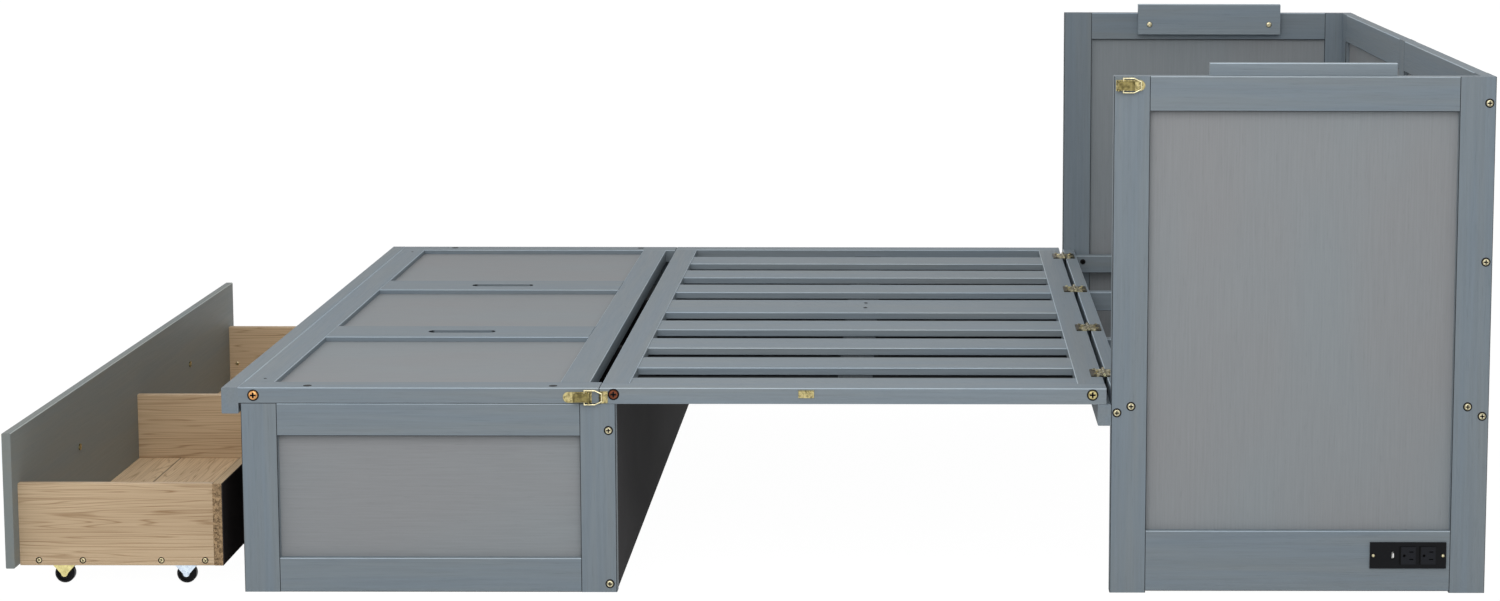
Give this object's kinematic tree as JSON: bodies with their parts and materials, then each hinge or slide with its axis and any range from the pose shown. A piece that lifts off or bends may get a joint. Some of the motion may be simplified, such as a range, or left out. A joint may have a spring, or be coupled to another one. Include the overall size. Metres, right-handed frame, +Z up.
{
  "type": "wall bed",
  "caption": "Bed in hinged sections: an open wall cabinet with a fold-up slat frame and a free foot box that holds a rolling storage drawer.",
  "frame": {"origin": "on the floor, under the centre of the whole bed as it stands with the drawer rolled out", "axes": "+X along the bed from the drawer to the wall, +Y across the bed, +Z up"},
  "size_m": [2.507, 1.649, 0.89],
  "materials": {
    "paint": "blue-gray paint with the grain showing",
    "panel_paint": "gray painted plywood",
    "dark_paint": "dark coated board",
    "oak": "light oak foil on particle board",
    "brass": "antique brass",
    "copper": "copper",
    "zinc": "zinc plated",
    "outlet_black": "black plastic",
    "wheel_black": "black nylon",
    "usb_white": "white plastic"
  },
  "bodies": {
    "cabinet": {"side_stiles": "paint", "side_rails": "paint", "side_panels": "panel_paint", "back_stiles": "paint", "back_rails": "paint", "back_panels": "panel_paint", "top_cleats": "paint", "front_rail": "paint", "front_ledge": "paint", "head_ledgers": "paint", "head_joists": "paint", "head_slats": "paint", "cabinet_screws": "brass", "cleat_screws": "brass", "power_plate": "outlet_black", "power_sockets": "outlet_black", "usb_port": "usb_white", "power_box": "outlet_black", "hinge_fixed_leaves": "brass", "hinge_pins": "brass", "cabinet_latch_bases": "brass"},
    "slat_section": {"slat_side_rails": "paint", "slat_end_boards": "paint", "slats": "paint", "cross_brace": "paint", "slat_panels": "panel_paint", "slat_bolts": "copper", "hinge_moving_leaves": "brass", "latch_strikes": "brass"},
    "foot_box": {"box_stiles": "paint", "box_rails": "paint", "box_panels": "panel_paint", "box_rear_panel": "dark_paint", "box_partitions": "dark_paint", "lid_side_rails": "paint", "lid_end_boards": "paint", "lid_dividers": "paint", "lid_panels": "panel_paint", "lid_batten": "paint", "box_screws": "brass", "lid_latch_bases": "brass"},
    "drawer": {"drawer_front": "paint", "drawer_sides": "oak", "drawer_back": "oak", "drawer_bottom": "oak", "drawer_knobs": "brass", "caster_brackets": "zinc", "caster_axles": "zinc"},
    "near_front_wheel": {"near_front_wheel": "wheel_black"},
    "near_rear_wheel": {"near_rear_wheel": "wheel_black"},
    "near_lid_latch_lever": {"near_lid_latch_lever": "brass"},
    "near_lid_latch_loop": {"near_lid_latch_loop": "brass"},
    "near_cabinet_latch_lever": {"near_cabinet_latch_lever": "brass"},
    "near_cabinet_latch_loop": {"near_cabinet_latch_loop": "brass"},
    "far_front_wheel": {"far_front_wheel": "wheel_black"},
    "far_rear_wheel": {"far_rear_wheel": "wheel_black"},
    "far_lid_latch_lever": {"far_lid_latch_lever": "brass"},
    "far_lid_latch_loop": {"far_lid_latch_loop": "brass"},
    "far_cabinet_latch_lever": {"far_cabinet_latch_lever": "brass"},
    "far_cabinet_latch_loop": {"far_cabinet_latch_loop": "brass"}
  },
  "joints": [
    {"name": "slat_section_fold", "type": "hinge", "parent": "cabinet", "child": "slat_section", "pos_m": [0.6195, 0, 0.351], "axis": [0, 1, 0], "range_deg": [0, 90]},
    {"name": "foot_box_pull", "type": "slide", "parent": "cabinet", "child": "foot_box", "axis": [-1, 0, 0], "range_m": [0, 0.3]},
    {"name": "drawer_close", "type": "slide", "parent": "foot_box", "child": "drawer", "axis": [1, 0, 0], "range_m": [0, 0.384]},
    {"name": "near_front_wheel_spin", "type": "hinge", "parent": "drawer", "child": "near_front_wheel", "pos_m": [-1.1447, -0.749, 0.0165], "axis": [0, 1, 0], "continuous": true},
    {"name": "near_rear_wheel_spin", "type": "hinge", "parent": "drawer", "child": "near_rear_wheel", "pos_m": [-0.9383, -0.749, 0.0165], "axis": [0, 1, 0], "continuous": true},
    {"name": "near_lid_latch_lever_swing", "type": "hinge", "parent": "foot_box", "child": "near_lid_latch_lever", "pos_m": [-0.2457, -0.82, 0.33234], "axis": [0, 0, 1], "range_deg": [0, 120]},
    {"name": "near_lid_latch_loop_swing", "type": "hinge", "parent": "near_lid_latch_lever", "child": "near_lid_latch_loop", "pos_m": [-0.2537, -0.8178, 0.33234], "axis": [0, 0, 1], "range_deg": [-120, 0]},
    {"name": "near_cabinet_latch_lever_swing", "type": "hinge", "parent": "cabinet", "child": "near_cabinet_latch_lever", "pos_m": [0.6305, -0.82, 0.855], "axis": [0, 0, -1], "range_deg": [0, 70]},
    {"name": "near_cabinet_latch_loop_swing", "type": "hinge", "parent": "near_cabinet_latch_lever", "child": "near_cabinet_latch_loop", "pos_m": [0.6385, -0.8178, 0.855], "axis": [0, 0, -1], "range_deg": [0, 105]},
    {"name": "far_front_wheel_spin", "type": "hinge", "parent": "drawer", "child": "far_front_wheel", "pos_m": [-1.1447, 0.749, 0.0165], "axis": [0, 1, 0], "continuous": true},
    {"name": "far_rear_wheel_spin", "type": "hinge", "parent": "drawer", "child": "far_rear_wheel", "pos_m": [-0.9383, 0.749, 0.0165], "axis": [0, 1, 0], "continuous": true},
    {"name": "far_lid_latch_lever_swing", "type": "hinge", "parent": "foot_box", "child": "far_lid_latch_lever", "pos_m": [-0.2457, 0.82, 0.33234], "axis": [0, 0, -1], "range_deg": [0, 120]},
    {"name": "far_lid_latch_loop_swing", "type": "hinge", "parent": "far_lid_latch_lever", "child": "far_lid_latch_loop", "pos_m": [-0.2537, 0.8178, 0.33234], "axis": [0, 0, -1], "range_deg": [-120, 0]},
    {"name": "far_cabinet_latch_lever_swing", "type": "hinge", "parent": "cabinet", "child": "far_cabinet_latch_lever", "pos_m": [0.6305, 0.82, 0.855], "axis": [0, 0, 1], "range_deg": [0, 70]},
    {"name": "far_cabinet_latch_loop_swing", "type": "hinge", "parent": "far_cabinet_latch_lever", "child": "far_cabinet_latch_loop", "pos_m": [0.6385, 0.8178, 0.855], "axis": [0, 0, 1], "range_deg": [0, 105]}
  ],
  "couplings": [
    {"joint": "near_lid_latch_loop_swing", "follows": "near_lid_latch_lever_swing", "ratio": -1},
    {"joint": "far_lid_latch_loop_swing", "follows": "far_lid_latch_lever_swing", "ratio": -1}
  ]
}
